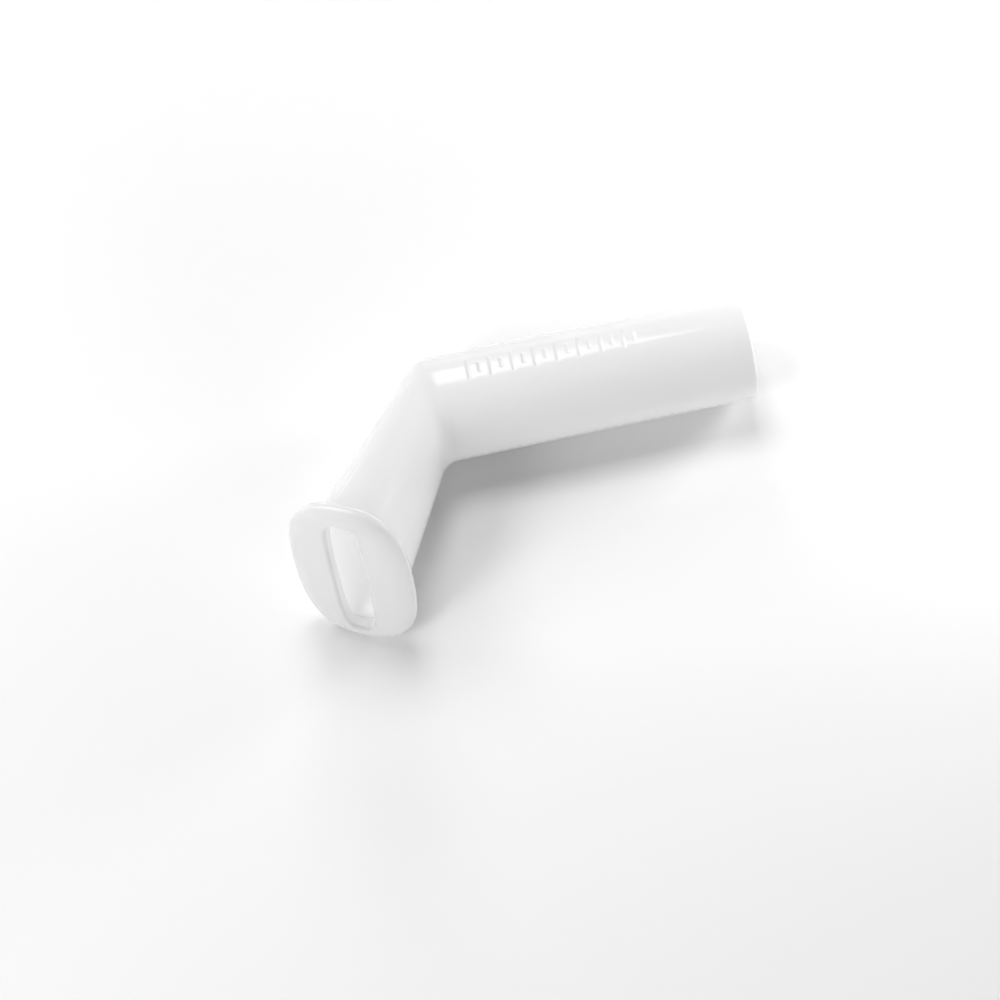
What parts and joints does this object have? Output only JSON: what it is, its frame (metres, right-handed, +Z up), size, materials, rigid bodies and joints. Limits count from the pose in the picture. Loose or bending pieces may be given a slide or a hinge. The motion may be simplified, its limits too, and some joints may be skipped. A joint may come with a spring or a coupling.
{
  "type": "angled mouthpiece",
  "caption": "Hollow bent mouthpiece: round hose spigot, limb that flattens towards the mouth, and a thick rounded lip flange with a long slot.",
  "frame": {"origin": "centre of the outlet tube's open end", "axes": "+X along the outlet tube, out of its open end; +Z up when the part lies on its side on a flat surface, on the tube and the low end of the flange; the limb and the mouth lie towards -Y"},
  "size_m": [0.1003, 0.056, 0.0413],
  "materials": {
    "milky_plastic": "semi-gloss, milky translucent natural polypropylene"
  },
  "bodies": {
    "root": {"outlet_tube": "milky_plastic", "mouth_limb": "milky_plastic", "lip_flange": "milky_plastic"}
  },
  "joints": []
}
